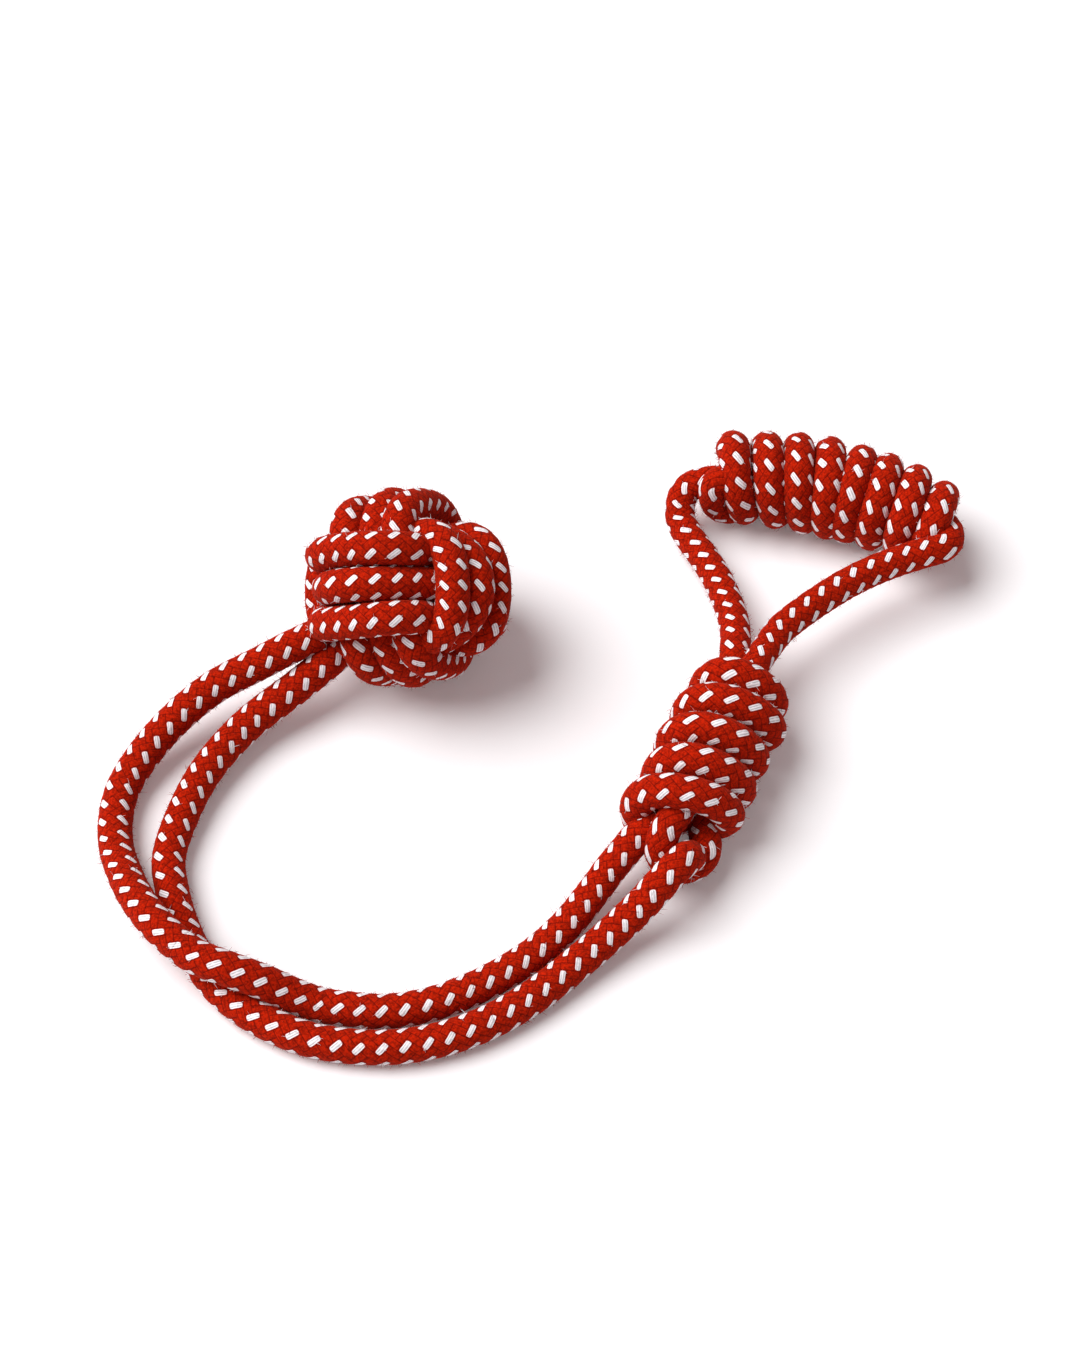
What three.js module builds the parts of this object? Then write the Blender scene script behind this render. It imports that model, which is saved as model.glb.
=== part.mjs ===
import * as THREE from "three";

// A rope dog toy: one braided cotton rope tied as a throwing ball, two long strands,
// a barrel knot and a handle, lying on a floor. X runs right, Y away and Z up.

// Rope sizes, in millimetres
const rope_d = 10;
const clearance = 0.3;
const rope_sides = 8;

// How far the rope is drawn down where a knot squeezes it, as shares of its free diameter
const ball_squeeze_share = 0.77;
const core_squeeze_share = 0.74;
const barrel_squeeze_share = 0.96;
const grip_squeeze_share = 0.83;

// Length of one straight facet along a run, as shares of the free diameter
const strand_step_share = 1;
const leg_step_share = 0.6;
const knot_step_share = 0.45;

// Ball: a monkey's fist of three passes with three turns each, around a small bead
const ball_x = -39.8;
const ball_y = 9.6;
const ball_tilt_deg = [-57, -2, -131];
const passes = 3;
const turns_in_pass = 3;
const bead_radius_share = 0.75;
const bead_detail = 3;
// Distance of a turn from the ball's middle, and its offset from the pass's middle plane,
// as shares of the rope diameter: a mean, then its second and fourth harmonics
const middle_turn_shares = [2.14, 0.45, 0.07];
const outer_turn_shares = [1.97, 0.81, -0.27];
const outer_offset_shares = [0.82, 0.04, 0.02];

// Barrel knot: turns wound around three runs of the rope
const barrel_x = 49.9;
const barrel_y = -38.7;
const barrel_yaw_deg = 67.4;
const barrel_turns = 5;
const barrel_pitch_share = 1.16;
const barrel_start_deg = -90;

// Grip: turns wound around one run, bowed away from the barrel
const grip_x = 92;
const grip_y = 60.9;
const grip_yaw_deg = -13.8;
const grip_bow_radius = 120;
const grip_turns = 7.4;
const grip_pitch_share = 0.94;
const grip_start_deg = 230;

// Where the rope may bend, in millimetres along each strand from the ball
const neck_at = [15, 15];
const far_bend_at = [100, 86];
const near_bend_at = [193, 171];
const barrel_bend_at = [262, 249];
const bend_length = 14;

// Colours
const rope_red = 0x8f1806;
const bead_tan = 0xb98a57;

// Derived sizes
const run_d = rope_d - clearance;
const ball_rope_d = rope_d * ball_squeeze_share;
const core_d = rope_d * core_squeeze_share;
const barrel_turn_d = rope_d * barrel_squeeze_share;
const grip_turn_d = rope_d * grip_squeeze_share;
const lying = (run_d / 2) * Math.cos(Math.PI / rope_sides);
const crossing = lying + rope_d + 2 * clearance;
const core_ring = (core_d + clearance) / Math.sqrt(3);
const barrel_ring = core_ring + core_d / 2 + clearance + barrel_turn_d / 2;
const barrel_half = (barrel_turns * barrel_pitch_share * rope_d) / 2;
const barrel_height = barrel_ring + barrel_turn_d / 2;
const grip_ring = run_d / 2 + clearance + grip_turn_d / 2;
const grip_half = (grip_turns * grip_pitch_share * rope_d) / 2;
const grip_height = grip_ring + grip_turn_d / 2;
const strand_step = rope_d * strand_step_share;
const leg_step = rope_d * leg_step_share;
const knot_step = rope_d * knot_step_share;

const toy = new THREE.Group();

function rad(degrees) {
  return THREE.MathUtils.degToRad(degrees);
}

function material(color) {
  return new THREE.MeshStandardMaterial({ color, roughness: 0.95, metalness: 0 });
}

// A section with flat sides, one of them facing down on a level run.
function section(diameter) {
  const shape = new THREE.Shape();
  for (let i = 0; i < rope_sides; i++) {
    const angle = ((i + 0.5) * 2 * Math.PI) / rope_sides;
    const x = (diameter / 2) * Math.cos(angle);
    const y = (diameter / 2) * Math.sin(angle);
    if (i) shape.lineTo(x, y);
    else shape.moveTo(x, y);
  }
  shape.closePath();
  return shape;
}

// One run of rope along a curve.
function run(name, curve, diameter, step, parent = toy) {
  const steps = Math.max(2, Math.round(curve.getLength() / step));
  const shape = section(diameter);
  const options = { steps, bevelEnabled: false, extrudePath: curve };
  const mesh = new THREE.Mesh(new THREE.ExtrudeGeometry(shape, options), material(rope_red));
  mesh.name = name;
  parent.add(mesh);
}

// A smooth route through points, each a list of three lengths or a place.
function route(points) {
  const places = points.map((p) => (p.isVector3 ? p : new THREE.Vector3(...p)));
  const whole = new THREE.CatmullRomCurve3(places, false, "centripetal");
  const finer = 24;
  whole.arcLengthDivisions = finer * (places.length - 1);
  whole.lengthTo = (index) => whole.getLengths()[finer * index];
  return whole;
}

// The stretch of a route between two lengths along it, with half the clearance off each end.
class Stretch extends THREE.Curve {
  constructor(whole, from, to) {
    super();
    this.whole = whole;
    this.from = (from + clearance / 2) / whole.getLength();
    this.to = (to - clearance / 2) / whole.getLength();
  }
  getPoint(t, target = new THREE.Vector3()) {
    return this.whole.getPointAt(THREE.MathUtils.lerp(this.from, this.to, t), target);
  }
}

// Runs one after another along a route: each has a name, where it ends, a diameter and a step.
function cutRuns(whole, runs) {
  let from = 0;
  for (const [name, to, diameter, step] of runs) {
    run(name, new Stretch(whole, from, to), diameter, step);
    from = to;
  }
}

// A helix around an axis that is straight or bowed towards the positive Y side.
class Winding extends THREE.Curve {
  constructor(ring, half, startDeg, turns, bow = Infinity) {
    super();
    Object.assign(this, { ring, half, startDeg, turns, bow });
  }
  getPoint(t, target = new THREE.Vector3()) {
    const angle = rad(this.startDeg + 360 * this.turns * t);
    const along = this.half * (2 * t - 1) * Math.sign(this.turns);
    const out = this.ring * Math.cos(angle);
    const up = this.ring * Math.sin(angle);
    if (this.bow === Infinity) return target.set(along, out, up);
    const reach = this.bow + out;
    const turned = along / this.bow;
    return target.set(reach * Math.sin(turned), reach * Math.cos(turned) - this.bow, up);
  }
}

// One turn of the ball in lane -1, 0 or 1, open by the clearance on its hidden side.
class BallTurn extends THREE.Curve {
  constructor(lane) {
    super();
    this.lane = lane;
  }
  getPoint(t, target = new THREE.Vector3()) {
    const gap = clearance / (rope_d * middle_turn_shares[0]);
    const angle = Math.PI / 2 + gap / 2 + t * (2 * Math.PI - gap);
    const wave = ([mean, second, fourth]) =>
      rope_d * (mean + second * Math.cos(2 * angle) + fourth * Math.cos(4 * angle));
    const reach = wave(this.lane ? outer_turn_shares : middle_turn_shares);
    const offset = this.lane * wave(outer_offset_shares);
    return target.set(reach * Math.cos(angle), reach * Math.sin(angle), offset);
  }
}

const ball = new THREE.Group();
const barrel = new THREE.Group();
const grip = new THREE.Group();
toy.add(ball, barrel, grip);

function makeBall() {
  ball.rotation.set(...ball_tilt_deg.map(rad));
  const diagonal = new THREE.Vector3(1, 1, 1).normalize();
  for (let pass = 0; pass < passes; pass++) {
    const group = new THREE.Group();
    group.quaternion.setFromAxisAngle(diagonal, (2 * Math.PI * pass) / passes);
    for (let turn = 0; turn < turns_in_pass; turn++) {
      const name = "ball_pass_" + (pass + 1) + "_turn_" + (turn + 1);
      run(name, new BallTurn(turn - 1), ball_rope_d, knot_step, group);
    }
    ball.add(group);
  }
  const sphere = new THREE.IcosahedronGeometry(rope_d * bead_radius_share, bead_detail);
  const bead = new THREE.Mesh(sphere, material(bead_tan));
  bead.name = "ball_bead";
  ball.add(bead);
  const lowest = new THREE.Box3().setFromObject(ball, true).min.z;
  ball.position.set(ball_x, ball_y, -lowest);
  ball.updateMatrixWorld(true);
}

function makeBarrel() {
  barrel.position.set(barrel_x, barrel_y, barrel_height);
  barrel.rotation.z = rad(barrel_yaw_deg);
  barrel.updateMatrixWorld(true);
  const turns = new Winding(barrel_ring, barrel_half, barrel_start_deg, barrel_turns);
  run("barrel_winding", turns, barrel_turn_d, knot_step, barrel);
}

function makeGrip() {
  grip.position.set(grip_x, grip_y, grip_height);
  grip.rotation.z = rad(grip_yaw_deg);
  grip.updateMatrixWorld(true);
  const turns = new Winding(grip_ring, grip_half, grip_start_deg, -grip_turns, grip_bow_radius);
  run("grip_winding", turns, grip_turn_d, knot_step, grip);
}

makeBall();
makeBarrel();
makeGrip();

// A place near the ball in the ball's own axes, as shares of the rope diameter.
function byBall(x, y, z) {
  return ball.localToWorld(new THREE.Vector3(x, y, z).multiplyScalar(rope_d));
}

// A place along, left of and above the barrel's middle. The shares are of the rope diameter
// and are added to the first three lengths.
function byBarrel([along, left, above], x = 0, y = 0, z = 0) {
  const shift = new THREE.Vector3(x, y, z).multiplyScalar(rope_d);
  return barrel.localToWorld(new THREE.Vector3(along, left, above).add(shift));
}

// A place in the same manner by the grip's bowed axis: along, beyond and above it.
function byGrip(end, x = 0, y = 0, z = 0) {
  const turned = (end + rope_d * x) / grip_bow_radius;
  const reach = grip_bow_radius + rope_d * y;
  const beyond = reach * Math.cos(turned) - grip_bow_radius;
  return grip.localToWorld(new THREE.Vector3(reach * Math.sin(turned), beyond, rope_d * z));
}

// The barrel's two ends on its axis, and the three runs inside it at each end: one at the
// top, one on the left and one on the right, seen from the ball's end
const low_end = [-barrel_half, 0, 0];
const high_end = [barrel_half, 0, 0];
const beside = core_ring * Math.cos(rad(30));
const below = -core_ring / 2;
const left_low = [-barrel_half, beside, below];
const left_high = [barrel_half, beside, below];
const right_low = [-barrel_half, -beside, below];
const right_high = [barrel_half, -beside, below];
const top_low = [-barrel_half, 0, core_ring];
const top_high = [barrel_half, 0, core_ring];

// The first way: from the ball along the outer strand, over the inner one, through the
// barrel's left side, up the left leg and through the grip
const first_strand = [
  byBall(1.69, -2.07, -1.14),
  [-74.8, -4.4, 20],
  [-83.1, -8.3, 18],
  [-98.5, -15.7, 14],
  [-113, -28.6, 9],
  [-122.5, -44.1, 5.5],
  [-124.3, -55.8, 4.8],
  [-123, -66.5, 5.5],
  [-119.5, -76.6, 8.2],
  [-115.6, -85.6, 11.4],
  [-110.3, -94.4, 14],
  [-103.9, -101.9, crossing],
  [-96.5, -108, crossing],
  [-89.5, -111.2, crossing],
  [-83.5, -112.6, 13.9],
  [-77, -113.6, 11.4],
  [-70, -115.2, 7.6],
  [-62, -117.4, 4.8],
  [-54, -119.1, lying],
  [-43.4, -119.9, lying],
  [-30.9, -117.7, lying],
  [-16.9, -111.3, lying],
  [-2.8, -101.5, 4.8],
  [7.1, -92.2, 5.8],
  [15.8, -82, 8],
  [20.7, -75.8, 10.5],
  byBarrel(low_end, -1.6, 1.22, -0.6),
];
const first_core = [byBarrel(low_end, -1, 1, -0.42), byBarrel(low_end, -0.4, 0.52, -0.25)];
const first_inside = [
  byBarrel(left_low, 0.2),
  byBarrel(left_low, 0.9),
  byBarrel(left_high, -0.6),
  byBarrel(left_high, 0.3),
];
const first_bend = [byBarrel(high_end, 0.9, 0.5, -0.3), byBarrel(high_end, 1.7, 0.85, -0.5)];
const first_leg = [
  [59.2, 12, 12],
  [57.7, 21.2, 10.5],
  [55.4, 30.5, 9],
  [51.7, 40, 8],
  [47.9, 48, 7.5],
  [45, 54.4, 8],
  [44.4, 60, 10],
  byGrip(-grip_half, -1.05, 0.05, 0.02),
  byGrip(-grip_half, -0.4, 0.06, 0.05),
];
const first_grip = [
  byGrip(-grip_half, 0.3),
  byGrip(-grip_half, 1.1),
  byGrip(-grip_half / 3),
  byGrip(grip_half / 3),
  byGrip(grip_half, -0.6),
];
const first_way = route([
  ...first_strand, ...first_core, ...first_inside, ...first_bend, ...first_leg, ...first_grip,
]);

// The second way: from the ball along the inner strand and down into the barrel's bight
const second_way = route([
  byBall(1.27, -1.7, -2.13),
  [-67.7, -9.1, 13.5],
  [-74.5, -14.3, 11.5],
  [-87.5, -24.5, 8.1],
  [-98.7, -39.8, 6.4],
  [-105.2, -56.2, 5.1],
  [-107.7, -69.6, 4.7],
  [-106, -79.9, lying],
  [-103, -89.9, lying],
  [-98.6, -99.8, lying],
  [-92.5, -109.6, lying],
  [-86.5, -116.1, lying],
  [-79.2, -121.7, lying],
  [-66.9, -127.9, lying],
  [-55.6, -130.6, lying],
  [-43, -131.3, lying],
  [-30.6, -129.6, lying],
  [-16.7, -124.6, lying],
  [-2.8, -116, 4.8],
  [11.3, -104.3, 6],
  [22.7, -94.6, 9],
  byBarrel(low_end, -2.5, 0, -0.35),
  byBarrel(low_end, -1.9, -0.48, 0.12),
  byBarrel(low_end, -1.35, -0.85, 0.35),
  byBarrel(low_end, -0.9, -1.05, 0.35),
]);

// The third way: from the grip's right end down the right leg, through the top of the
// barrel, around the bight at its low end and back in on the right side
const third_leg = [
  byGrip(grip_half, -0.45),
  byGrip(grip_half, 0.3, 0.02),
  byGrip(grip_half, 0.85, -0.3, 0.15),
  byGrip(grip_half, 0.95, -0.95, 0.3),
  byGrip(grip_half, 0.45, -1.55, 0.45),
  [117.6, 31.6, 19],
  [110.3, 29.7, 19],
  [102.4, 25.9, 19],
  [94.4, 21.2, 19],
  [86.5, 15.5, 19],
  [78.6, 9, 19],
];
const third_bend = [byBarrel(high_end, 1.7, -0.45, 0.15), byBarrel(high_end, 0.9, -0.1, 0.3)];
const third_top = [
  byBarrel(top_high, 0.2),
  byBarrel(top_high, -0.5),
  byBarrel(top_low, 0.6),
  byBarrel(top_low, -0.05),
];
const third_bight = [
  byBarrel(low_end, -0.45, -0.05, 0.4),
  byBarrel(low_end, -0.85, -0.1, 0.05),
  byBarrel(low_end, -1.2, -0.15, -0.5),
  byBarrel(low_end, -1.38, -0.5, -1.0),
  byBarrel(low_end, -1.2, -0.95, -1.2),
  byBarrel(low_end, -0.75, -1.2, -1.1),
  byBarrel(low_end, -0.3, -1.1, -0.85),
  byBarrel(low_end, 0.1, -0.77, -0.5),
  byBarrel(right_low, 0.6, -0.03),
  byBarrel(right_low, 1.1),
];
const third_way = route([
  ...third_leg, ...third_bend, ...third_top, ...third_bight,
  byBarrel(right_low, 1.8), byBarrel(right_high, -0.4),
]);

// A strand's runs: stiff links with a short bend between them.
function strandRuns(letter, place, end) {
  const bends = [neck_at, far_bend_at, near_bend_at, barrel_bend_at].map((at) => at[place]);
  const bend_names = ["neck_bend", "far_bend", "near_bend", "barrel_bend"];
  const link_names = ["tail", "far_link", "mid_link", "near_link"];
  const runs = bends.flatMap((at, i) => [
    ["strand_" + letter + "_" + link_names[i], at - bend_length / 2, run_d, strand_step],
    ["strand_" + letter + "_" + bend_names[i], at + bend_length / 2, run_d, strand_step],
  ]);
  return [...runs, ["strand_" + letter + "_end", end, run_d, strand_step]];
}

// Places along the first way, counted in its points
const into_barrel = first_strand.length;
const out_of_barrel = into_barrel + first_core.length + first_inside.length;
const into_left_leg = out_of_barrel + first_bend.length - 1;
const into_grip = into_left_leg + first_leg.length + 1;
cutRuns(first_way, [
  ...strandRuns("a", 0, first_way.lengthTo(into_barrel)),
  ["barrel_core_left", first_way.lengthTo(out_of_barrel - 1), core_d, knot_step],
  ["left_leg_bend", first_way.lengthTo(into_left_leg), core_d, knot_step],
  ["left_leg", first_way.lengthTo(into_grip), run_d, leg_step],
  ["grip_core", first_way.getLength(), run_d, leg_step],
]);
cutRuns(second_way, strandRuns("b", 1, second_way.getLength()));

// Places along the third way, counted in its points
const leg_turned = 6;
const out_of_leg = third_leg.length;
const into_top = out_of_leg + third_bend.length;
const out_of_top = into_top + third_top.length - 1;
const into_right = out_of_top + third_bight.length;
cutRuns(third_way, [
  ["right_leg_turn", third_way.lengthTo(leg_turned), grip_turn_d, knot_step],
  ["right_leg", third_way.lengthTo(out_of_leg), run_d, leg_step],
  ["right_leg_bend", third_way.lengthTo(into_top), core_d, knot_step],
  ["barrel_core_top", third_way.lengthTo(out_of_top), core_d, knot_step],
  ["barrel_bight", third_way.lengthTo(into_right), core_d, knot_step],
  ["barrel_core_right", third_way.getLength(), core_d, knot_step],
]);

// The toy stands on the floor, with the middle of its outline above the origin
toy.updateMatrixWorld(true);
const outline = new THREE.Box3().setFromObject(toy, true);
const middle = outline.getCenter(new THREE.Vector3());
toy.position.set(-middle.x, -middle.y, -outline.min.z);

export default toy;
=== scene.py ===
"""A rope dog toy: one braided rope tied as a throwing ball, two strands, a barrel knot and a handle."""

import math

import bpy
import numpy as np
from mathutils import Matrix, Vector


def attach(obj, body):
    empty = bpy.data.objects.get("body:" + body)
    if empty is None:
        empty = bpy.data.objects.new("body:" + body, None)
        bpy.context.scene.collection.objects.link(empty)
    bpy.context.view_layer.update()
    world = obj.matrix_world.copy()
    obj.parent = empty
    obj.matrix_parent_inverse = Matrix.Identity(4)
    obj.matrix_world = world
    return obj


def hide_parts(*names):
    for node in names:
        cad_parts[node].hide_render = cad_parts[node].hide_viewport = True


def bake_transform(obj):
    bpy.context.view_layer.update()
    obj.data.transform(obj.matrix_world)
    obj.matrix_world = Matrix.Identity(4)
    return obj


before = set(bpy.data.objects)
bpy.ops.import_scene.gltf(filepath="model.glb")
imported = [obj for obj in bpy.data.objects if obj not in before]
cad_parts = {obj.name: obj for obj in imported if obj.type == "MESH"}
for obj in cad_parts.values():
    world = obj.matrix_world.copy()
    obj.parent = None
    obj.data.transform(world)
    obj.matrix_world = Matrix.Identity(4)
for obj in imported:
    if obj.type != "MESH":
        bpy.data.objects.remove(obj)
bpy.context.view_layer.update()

bl_info = {
    "name": "Rope dog toy",
    "version": (1, 0, 0),
    "blender": (4, 5, 0),
    "location": "View3D > Sidebar > Rope toy",
    "description": "Makes a braided rope toy on its packed frame, with its floor, lamp and camera",
    "category": "Add Mesh",
}

# Braid: ten yarns run each way around the rope, each over two and under two. Every other yarn of one way is
# undyed, so a lay, in which a yarn goes once around, holds five white flecks along the rope
YARNS = 10
ROWS = YARNS // 2
SIDES = 60

# Fleck pitch of each part, as a share of the settings' one: a bent rope's outside is stretched or squeezed
STRAND_PITCH = 0.98
BALL_PITCH = 0.84
BARREL_PITCH = 0.92
LEFT_LEG_PITCH = 0.95
GRIP_PITCH = 0.85

# Radii in rope diameters: the ball's and barrel's turns, the runs hidden in knots, the bight and the lone turn
TURN_RADIUS = 0.505
HIDDEN_RADIUS = 0.45
BIGHT_RADIUS = 0.46
LONE_RADIUS = 0.435

# Loose fibres, in metres: their shortest and longest, and their thinnest and thickest radius
FIBRE_LENGTH = (0.0006, 0.0018)
FIBRE_RADIUS = (0.000050, 0.000085)
FRAYED_FIBRES = 260

# Lowest height that rope reaches above the floor
FLOOR_GAP = 0.00005

# Where the strands bend and where their pieces part, in metres along each from its end in the ball, and their
# radii, in rope diameters, at shares of their length
OUTER_CUTS = (0.062, 0.145, 0.232)
INNER_CUTS = (0.066, 0.132, 0.219)
OUTER_RADII = ((0, 0.3, 0.7, 0.8, 1), (0.50, 0.51, 0.49, 0.475, 0.475))
INNER_RADII = ((0, 0.1, 0.3, 0.7, 1), (0.51, 0.51, 0.49, 0.49, 0.49))

# Outer strand, from the ball to the barrel knot
OUTER_STRAND = [
    (-0.06840, 0.02870, 0.02134),
    (-0.07710, 0.02459, 0.02004),
    (-0.08540, 0.02069, 0.01804),
    (-0.10080, 0.01329, 0.01404),
    (-0.11530, 0.00039, 0.00904),
    (-0.12480, -0.01511, 0.00554),
    (-0.12660, -0.02681, 0.00484),
    (-0.12530, -0.03751, 0.00554),
    (-0.12180, -0.04761, 0.00824),
    (-0.11790, -0.05661, 0.01144),
    (-0.11260, -0.06541, 0.01404),
    (-0.10620, -0.07291, 0.01512),
    (-0.09880, -0.07901, 0.01512),
    (-0.09180, -0.08221, 0.01512),
    (-0.08580, -0.08401, 0.01394),
    (-0.07930, -0.08541, 0.01144),
    (-0.07230, -0.08691, 0.00764),
    (-0.06430, -0.08871, 0.00484),
    (-0.05630, -0.09011, 0.00482),
    (-0.04570, -0.09091, 0.00482),
    (-0.03320, -0.08871, 0.00482),
    (-0.01900, -0.08261, 0.00482),
    (-0.00480, -0.07301, 0.00484),
    (0.00510, -0.06361, 0.00584),
    (0.01350, -0.05301, 0.00804),
    (0.01840, -0.04681, 0.01054),
    (0.02160, -0.04330, 0.01200),
    (0.02540, -0.03880, 0.01330),
    (0.03012, -0.03418, 0.01390),
    (0.03367, -0.02916, 0.01390),
]

# Inner strand, from the ball over the barrel knot's bight
INNER_STRAND = [
    (-0.06060, 0.02782, 0.01650),
    (-0.06502, 0.02393, 0.01520),
    (-0.07000, 0.01990, 0.01362),
    (-0.07680, 0.01470, 0.01162),
    (-0.08980, 0.00450, 0.00822),
    (-0.10100, -0.01080, 0.00652),
    (-0.10750, -0.02720, 0.00522),
    (-0.11000, -0.04060, 0.00482),
    (-0.10830, -0.05091, 0.00482),
    (-0.10530, -0.06091, 0.00482),
    (-0.10090, -0.07081, 0.00482),
    (-0.09480, -0.08061, 0.00482),
    (-0.08880, -0.08711, 0.00482),
    (-0.08150, -0.09271, 0.00482),
    (-0.06920, -0.09891, 0.00482),
    (-0.05790, -0.10161, 0.00482),
    (-0.04530, -0.10231, 0.00482),
    (-0.03290, -0.10061, 0.00482),
    (-0.01900, -0.09561, 0.00482),
    (-0.00510, -0.08701, 0.00484),
    (0.00900, -0.07531, 0.00604),
    (0.02040, -0.06561, 0.00904),
    (0.02730, -0.05990, 0.01260),
    (0.03200, -0.05590, 0.01600),
    (0.03580, -0.05220, 0.01760),
    (0.03890, -0.04860, 0.01700),
    (0.04050, -0.04560, 0.01400),
    (0.04090, -0.04370, 0.01000),
]

# Left leg, from inside the barrel knot to inside the grip
LEFT_LEG = [
    (0.04500, -0.00600, 0.01400),
    (0.05288, 0.01300, 0.01420),
    (0.05570, 0.02131, 0.01460),
    (0.05650, 0.02729, 0.01450),
    (0.05700, 0.03450, 0.01309),
    (0.05670, 0.04099, 0.01204),
    (0.05500, 0.05019, 0.01054),
    (0.05250, 0.05949, 0.00904),
    (0.04860, 0.06899, 0.00804),
    (0.04460, 0.07699, 0.00754),
    (0.04220, 0.08339, 0.00754),
    (0.04190, 0.08800, 0.00950),
    (0.04380, 0.09180, 0.01270),
    (0.04830, 0.09330, 0.01460),
    (0.05400, 0.09360, 0.01530),
    (0.06000, 0.09300, 0.01550),
]

# Right leg, from inside the grip's right end to inside the barrel knot
RIGHT_LEG = [
    (0.11000, 0.08350, 0.01300),
    (0.11500, 0.08240, 0.01280),
    (0.11880, 0.08000, 0.01370),
    (0.12210, 0.07610, 0.01560),
    (0.12400, 0.07110, 0.01760),
    (0.12370, 0.06650, 0.01920),
    (0.12130, 0.06330, 0.01960),
    (0.11700, 0.06160, 0.01960),
    (0.10950, 0.05910, 0.01920),
    (0.10015, 0.05490, 0.01904),
    (0.09215, 0.05020, 0.01904),
    (0.08425, 0.04450, 0.01904),
    (0.07635, 0.03800, 0.01904),
    (0.07040, 0.03230, 0.01900),
    (0.06660, 0.02650, 0.01930),
    (0.06280, 0.01960, 0.02020),
    (0.05860, 0.01220, 0.02030),
    (0.05000, -0.00350, 0.02030),
]

# The legs' radii, in rope diameters, at shares of their length
LEFT_LEG_RADII = ((0, 0.25, 1), (0.45, 0.465, 0.47))
RIGHT_LEG_RADII = ((0, 0.3, 0.65, 0.8, 1), (0.475, 0.47, 0.465, 0.43, 0.42))

# Barrel knot: middle and direction, its runs' places along, left of and above its middle, and its winding's
# turns done, place along, half width, half height and rise
BARREL = (0.04760, -0.00971, 0.01650)
BARREL_YAW = 67.4
CORE_LEFT = [
    (-0.0300, 0.0042, -0.0024),
    (-0.0200, 0.0040, -0.0024),
    (0.0, 0.0039, -0.0024),
    (0.0200, 0.0039, -0.0024),
]
BIGHT = [
    (0.0280, 0.0, 0.0040),
    (0.0, 0.0, 0.0040),
    (-0.0200, 0.0, 0.0040),
    (-0.0270, 0.0, 0.0040),
    (-0.0310, 0.0010, 0.0032),
    (-0.0345, 0.0015, 0.0006),
    (-0.0370, 0.0012, -0.0032),
    (-0.0376, -0.0018, -0.0070),
    (-0.0363, -0.0060, -0.0086),
    (-0.0338, -0.0092, -0.0076),
    (-0.0308, -0.0103, -0.0066),
    (-0.0280, -0.0096, -0.0063),
    (-0.0240, -0.0075, -0.0058),
    (-0.0180, -0.0050, -0.0040),
    (0.0, -0.0039, -0.0026),
    (0.0240, -0.0039, -0.0024),
]
BARREL_WRAPS = [
    (0.00, -0.0288, 0.0122, 0.0115, 0.0),
    (0.25, -0.0275, 0.0122, 0.0115, 0.0),
    (0.50, -0.0246, 0.0126, 0.0112, 0.0),
    (0.75, -0.0194, 0.0129, 0.0114, 0.0),
    (1.25, -0.0157, 0.0104, 0.0115, 0.0001),
    (1.50, -0.0131, 0.0116, 0.0115, 0.0001),
    (1.75, -0.0098, 0.0131, 0.0115, 0.0001),
    (2.25, -0.0045, 0.0106, 0.0117, 0.0002),
    (2.50, -0.0016, 0.0118, 0.0117, 0.0002),
    (2.75, 0.0012, 0.0130, 0.0117, 0.0002),
    (3.25, 0.0068, 0.0098, 0.0116, 0.0003),
    (3.50, 0.0096, 0.0119, 0.0116, 0.0003),
    (3.75, 0.0130, 0.0141, 0.0116, 0.0003),
    (4.25, 0.0177, 0.0083, 0.0113, 0.0003),
    (4.50, 0.0203, 0.0099, 0.0110, 0.0003),
    (4.75, 0.0222, 0.0115, 0.0100, 0.0),
    (4.95, 0.0225, 0.0080, 0.0080, 0.0),
]

# Grip: middle, direction and bow of its axis and the ends of the run inside it. Its winding: the angle that it
# starts at, its radii at shares of its length, its squeeze along the grip, and its turns done, place along and
# radius
GRIP = (0.08970, 0.09034, 0.01510)
GRIP_YAW = -16.2
GRIP_BOW = 0.1032
GRIP_INSIDE = (-0.0360, 0.0345)
GRIP_START = 216
GRIP_RADII = ((0, 0.03, 0.07, 0.975, 1), (0.42, 0.47, 0.52, 0.52, 0.58))
GRIP_FLAT = 0.93
GRIP_WRAPS = [
    (-0.40, 0.0280, 0.0030),
    (-0.15, 0.0310, 0.0050),
    (0.10, 0.0350, 0.0083),
    (0.25, 0.0368, 0.0090),
    (0.50, 0.0325, 0.0090),
    (1.00, 0.0269, 0.0102),
    (1.25, 0.0268, 0.0102),
    (1.50, 0.0232, 0.0102),
    (2.00, 0.0158, 0.0104),
    (2.25, 0.0168, 0.0104),
    (2.50, 0.0144, 0.0104),
    (3.00, 0.0068, 0.0106),
    (3.25, 0.0075, 0.0106),
    (3.50, 0.0065, 0.0106),
    (4.00, 0.0005, 0.0109),
    (4.25, -0.0006, 0.0109),
    (4.50, -0.0032, 0.0109),
    (5.00, -0.0076, 0.0106),
    (5.25, -0.0109, 0.0106),
    (5.50, -0.0123, 0.0106),
    (6.00, -0.0174, 0.0101),
    (6.25, -0.0207, 0.0101),
    (6.50, -0.0214, 0.0101),
    (7.00, -0.0280, 0.0093),
    (7.25, -0.0317, 0.0094),
    (7.51, -0.0314, 0.0095),
]
LONE_TURN = [
    (0.06442, 0.09072, 0.01300),
    (0.05982, 0.09050, 0.01700),
    (0.05540, 0.08910, 0.02150),
    (0.05225, 0.08780, 0.02070),
    (0.05165, 0.08690, 0.01660),
    (0.05315, 0.08790, 0.01000),
    (0.05620, 0.08894, 0.00650),
    (0.06139, 0.09041, 0.00520),
    (0.06700, 0.09200, 0.00700),
]

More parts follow.
